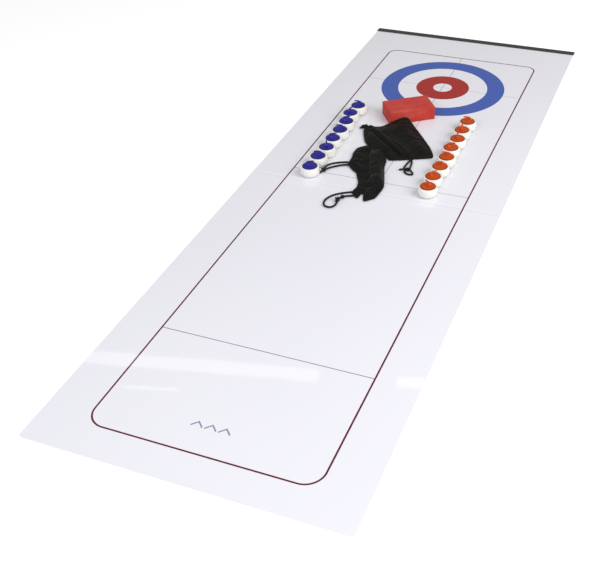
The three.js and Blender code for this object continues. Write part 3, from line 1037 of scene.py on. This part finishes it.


# ---------------------------------------------------------------- cords

# Cord ends: strands are (x, y, height) of the cord's middle, knots are (centre, half size). Root is where
# the cord leaves its bag, and free is where it lies on its own.
CORD_RADIUS = 2.2
CORDS = {
    "rear_cord_left": {
        "node": "bag_rear_cord_left",
        "bag": "rear_bag",
        "root": (-114, 285, 6),
        "free": (-120, 283, 6),
        "strands": [[(-114, 285, 6), (-120, 284, 6.8), (-126, 280.5, 6.2), (-130.5, 276, 3.8)]],
        "knots": [((-122.5, 281.8, 6.4), (6.2, 5.4, 5.0)), ((-117.5, 286.5, 6.8), (4.8, 4.6, 4.4))],
    },
    "rear_cord_right": {
        "node": "bag_rear_cord_right",
        "bag": "rear_bag",
        "root": (43, 163, 3),
        "free": (44, 134, 3),
        "strands": [
            [(40.5, 164, 3), (38.5, 148, 3), (37.5, 134, 3), (38, 122, 3.4), (46, 118, 4)],
            [(43, 166, 3), (47.5, 152, 3), (50, 138, 3), (51, 124, 3.6)],
            [(47, 116, 4.4), (43, 110, 3.2), (47, 104, 2.8), (55, 99.5, 2.6), (64, 100.5, 2.6),
             (63.5, 107.5, 3.2), (56, 114.5, 4.4)],
            [(46, 118, 4.4), (38, 116.5, 3.4), (28, 113.4, 2.6)],
        ],
        "knots": [((50, 118, 4.8), (6.6, 5.6, 4.6))],
    },
    "front_cord_left": {
        "node": "bag_front_cord_left",
        "bag": "front_bag",
        "root": (-96, 101, 4),
        "free": (-128, 84, 4),
        "strands": [
            [(-97.5, 106, 4), (-112, 101.5, 3), (-124, 95, 3), (-135, 85.5, 3), (-141, 74, 3), (-141, 58, 4)],
            [(-93, 94, 4), (-109, 88, 3), (-120, 79, 3), (-130, 69, 3), (-138, 55, 4)],
            [(-140, 50, 4.4), (-142, 45, 3.4), (-143.5, 40.5, 2.8)],
        ],
        "knots": [((-140, 52, 5.2), (6.4, 7, 5))],
    },
    "front_cord_right": {
        "node": "bag_front_cord_right",
        "bag": "front_bag",
        "root": (-36, -23, 4),
        "free": (-58, -36, 4),
        "strands": [
            [(-38, -17, 4), (-51.5, -22.5, 3), (-63, -30, 3), (-72.5, -38, 3), (-79, -46, 3), (-84.5, -57, 3),
             (-87, -69, 3), (-85, -82, 3), (-78.5, -91, 3), (-67, -93, 3), (-59.5, -86, 3), (-57.5, -74, 3.4),
             (-60, -62, 4.6)],
            [(-30, -31, 4), (-40, -34, 3), (-49, -38.5, 3.2), (-55.5, -46, 4), (-60.5, -56, 4.6)],
        ],
        "knots": [((-61, -60, 5.2), (6.4, 7.4, 5)), ((-54, -45.5, 4.6), (4.8, 4.8, 4.2))],
    },
}


def knot(centre, half, radius):
    """An overhand knot: a closed trefoil of cord drawn tight."""
    inner = [h - radius for h in half]
    path = []
    for i in range(61):
        t = 2 * math.pi * i / 60
        x = (math.sin(t) + 2 * math.sin(2 * t)) / 3
        y = (math.cos(t) - 2 * math.cos(2 * t)) / 3
        z = -math.sin(3 * t)
        path.append(np.array([centre[k] + inner[k] * v for k, v in enumerate((x, y, z))]))
    return tube(path, [radius] * len(path), 10)


def build_cords():
    for body, cord in CORDS.items():
        parts = []
        for strand in cord["strands"]:
            path = spline([(x, y, SHEET_TOP + z) for x, y, z in strand], 12)
            parts.append(tube(path, [CORD_RADIUS] * len(path), 12))
        for centre, half in cord["knots"]:
            place = (centre[0], centre[1], SHEET_TOP + centre[2])
            parts.append(knot(place, half, CORD_RADIUS))
        verts, faces = merge(*parts)
        obj = new_object(body, new_mesh(body, verts, faces, MATS["cord"], angle=60))
        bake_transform(obj)
        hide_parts(cord["node"])


MATS = {
    "sheet_edge": sheet_body_material(),
    "sheet_print": sheet_print_material(),
    "strip": strip_material(),
    "base": base_material(),
    # edge: the radii over which each cap's colour darkens as painted rim shade
    "blue": plastic("cap_blue", srgb(38, 34, 138), 0.36, edge=(15.2, 17.9)),
    "orange": plastic("cap_orange", srgb(194, 71, 4), 0.36, edge=(14.6, 17.6)),
    "steel": steel_material(),
    "foam": foam_material(),
    "cloth": cloth_material(),
    "cord": cord_material(),
    "thread": plastic("bag_thread", srgb(30, 30, 31), 0.6),
}

build_sheet_half("sheet_far", "mat_far_half", "mat", FAR_END, 0.0)
build_sheet_half("sheet_near", "mat_near_half", "near_half", NEAR_END, SHEET_CORNER_RADIUS)
build_strip()
build_stones()
build_foam()
build_bags()
build_cords()


# ---------------------------------------------------------------- stage

FLOOR_HALF, FLOOR_Z = 12.0, -0.0012


def build_stage():
    mesh = bpy.data.meshes.new("floor")
    corners = [(x * FLOOR_HALF, y * FLOOR_HALF, FLOOR_Z) for x, y in ((-1, -1), (1, -1), (1, 1), (-1, 1))]
    mesh.from_pydata(corners, [], [(0, 1, 2, 3)])
    n = Nodes("floor_white")
    n.set(Base_Color=(0.9, 0.9, 0.9), Roughness=0.9, Emission_Color=(1.0, 1.0, 1.0), Emission_Strength=0.3)
    mesh.materials.append(n.mat)
    new_object("floor", mesh)

    world = bpy.data.worlds.new("studio")
    world.use_nodes = True
    tree = world.node_tree
    where = tree.nodes.new("ShaderNodeTexCoord").outputs["Generated"]
    split = tree.nodes.new("ShaderNodeSeparateXYZ")
    tree.links.new(where, split.inputs[0])
    side = tree.nodes.new("ShaderNodeMapRange")
    tree.links.new(split.outputs[1], side.inputs[0])
    side.inputs[1].default_value = -1.0
    shade = tree.nodes.new("ShaderNodeMix")
    shade.data_type = "RGBA"
    tree.links.new(side.outputs[0], shade.inputs[0])
    shade.inputs[6].default_value = (*WORLD_NEAR, 1.0)
    shade.inputs[7].default_value = (*WORLD_FAR, 1.0)
    tree.links.new(shade.outputs[2], tree.nodes["Background"].inputs[0])
    scene.world = world

    def area(name, place, aim, size, glow, colour=(1, 1, 1)):
        """glow is the brightness of the panel, whatever its size."""
        light = bpy.data.lights.new(name, "AREA")
        light.shape = "RECTANGLE"
        light.size, light.size_y = size
        light.energy = glow * math.pi * size[0] * size[1]
        light.color = colour
        obj = bpy.data.objects.new(name, light)
        scene.collection.objects.link(obj)
        obj.location = place
        obj.rotation_euler = (Vector(aim) - Vector(place)).to_track_quat("-Z", "Y").to_euler()
        return obj

    def panel(name, place, size, turn, glow):
        """A lamp facing straight down, seen in the glossy sheet."""
        lamp = area(name, place, (place[0], place[1], 0.0), size, glow)
        lamp.rotation_euler = (0.0, 0.0, math.radians(turn))

    area("key", (2.3, -0.45, 2.0), (0.0, 0.1, 0.0), (2.0, 2.0), 4.7, (1.0, 0.99, 0.98))
    area("fill", (-0.4, -3.0, 2.2), (0.0, -0.2, 0.0), (2.2, 1.2), 3.9, (0.92, 0.93, 1.0))
    panel("long_lamp", (-1.67, 1.688, 2.5), (1.395, 0.11), 12.5, 1.35)
    panel("thin_lamp", (-1.86, 1.42, 2.5), (0.33, 0.014), 14.3, 2.4)
    panel("window_patch", (-0.488, 1.959, 2.5), (0.15, 0.085), 14.0, 1.5)

    camera = bpy.data.cameras.new("camera")
    camera.lens = CAMERA_LENS
    camera.sensor_width = 36.0
    camera.shift_x, camera.shift_y = CAMERA_SHIFT
    camera.clip_end = 50.0
    obj = bpy.data.objects.new("camera", camera)
    scene.collection.objects.link(obj)
    obj.location = Vector(CAMERA_PLACE) * MM
    obj.rotation_euler = [math.radians(a) for a in CAMERA_TURN]
    scene.camera = obj


build_stage()
scene.view_settings.view_transform = "Standard"
